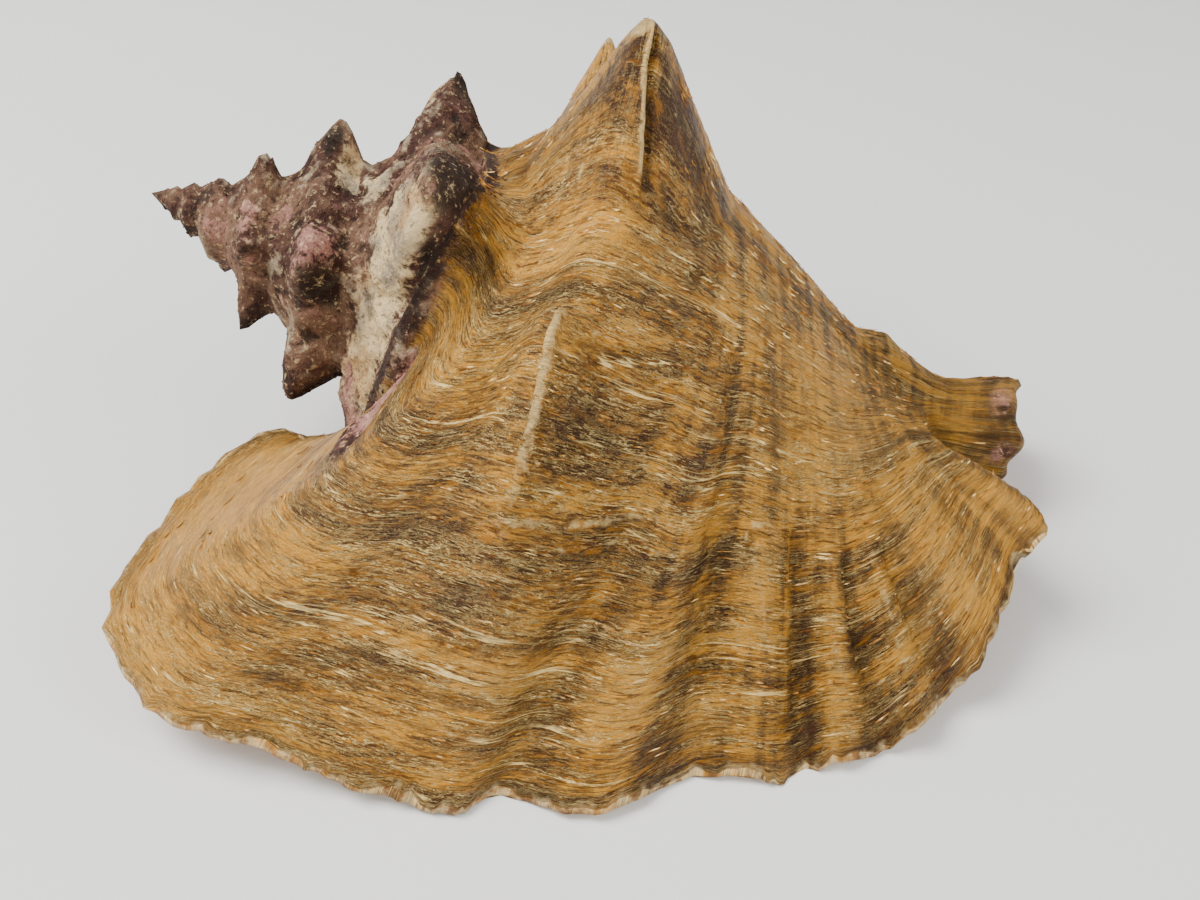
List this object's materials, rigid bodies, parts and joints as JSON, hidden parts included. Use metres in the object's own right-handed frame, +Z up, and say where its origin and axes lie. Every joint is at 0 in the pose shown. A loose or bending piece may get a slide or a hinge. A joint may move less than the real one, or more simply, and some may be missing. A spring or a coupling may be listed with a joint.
{
  "type": "queen conch shell",
  "caption": "Large sea snail shell with a knobbed spire, a wide flared lip and a mouth that opens underneath; lies on the front of its lip, a worn knob and its canal",
  "frame": {"origin": "centre of the space the resting shell takes up, on the table", "axes": "+X along the shell from the spire to the canal, +Y away from the flared lip, +Z up"},
  "size_m": [0.2261, 0.1989, 0.1251],
  "materials": {
    "shell": "matte, rough growth lines, glossy inside the mouth"
  },
  "bodies": {
    "root": {"shell": "shell"}
  },
  "joints": []
}
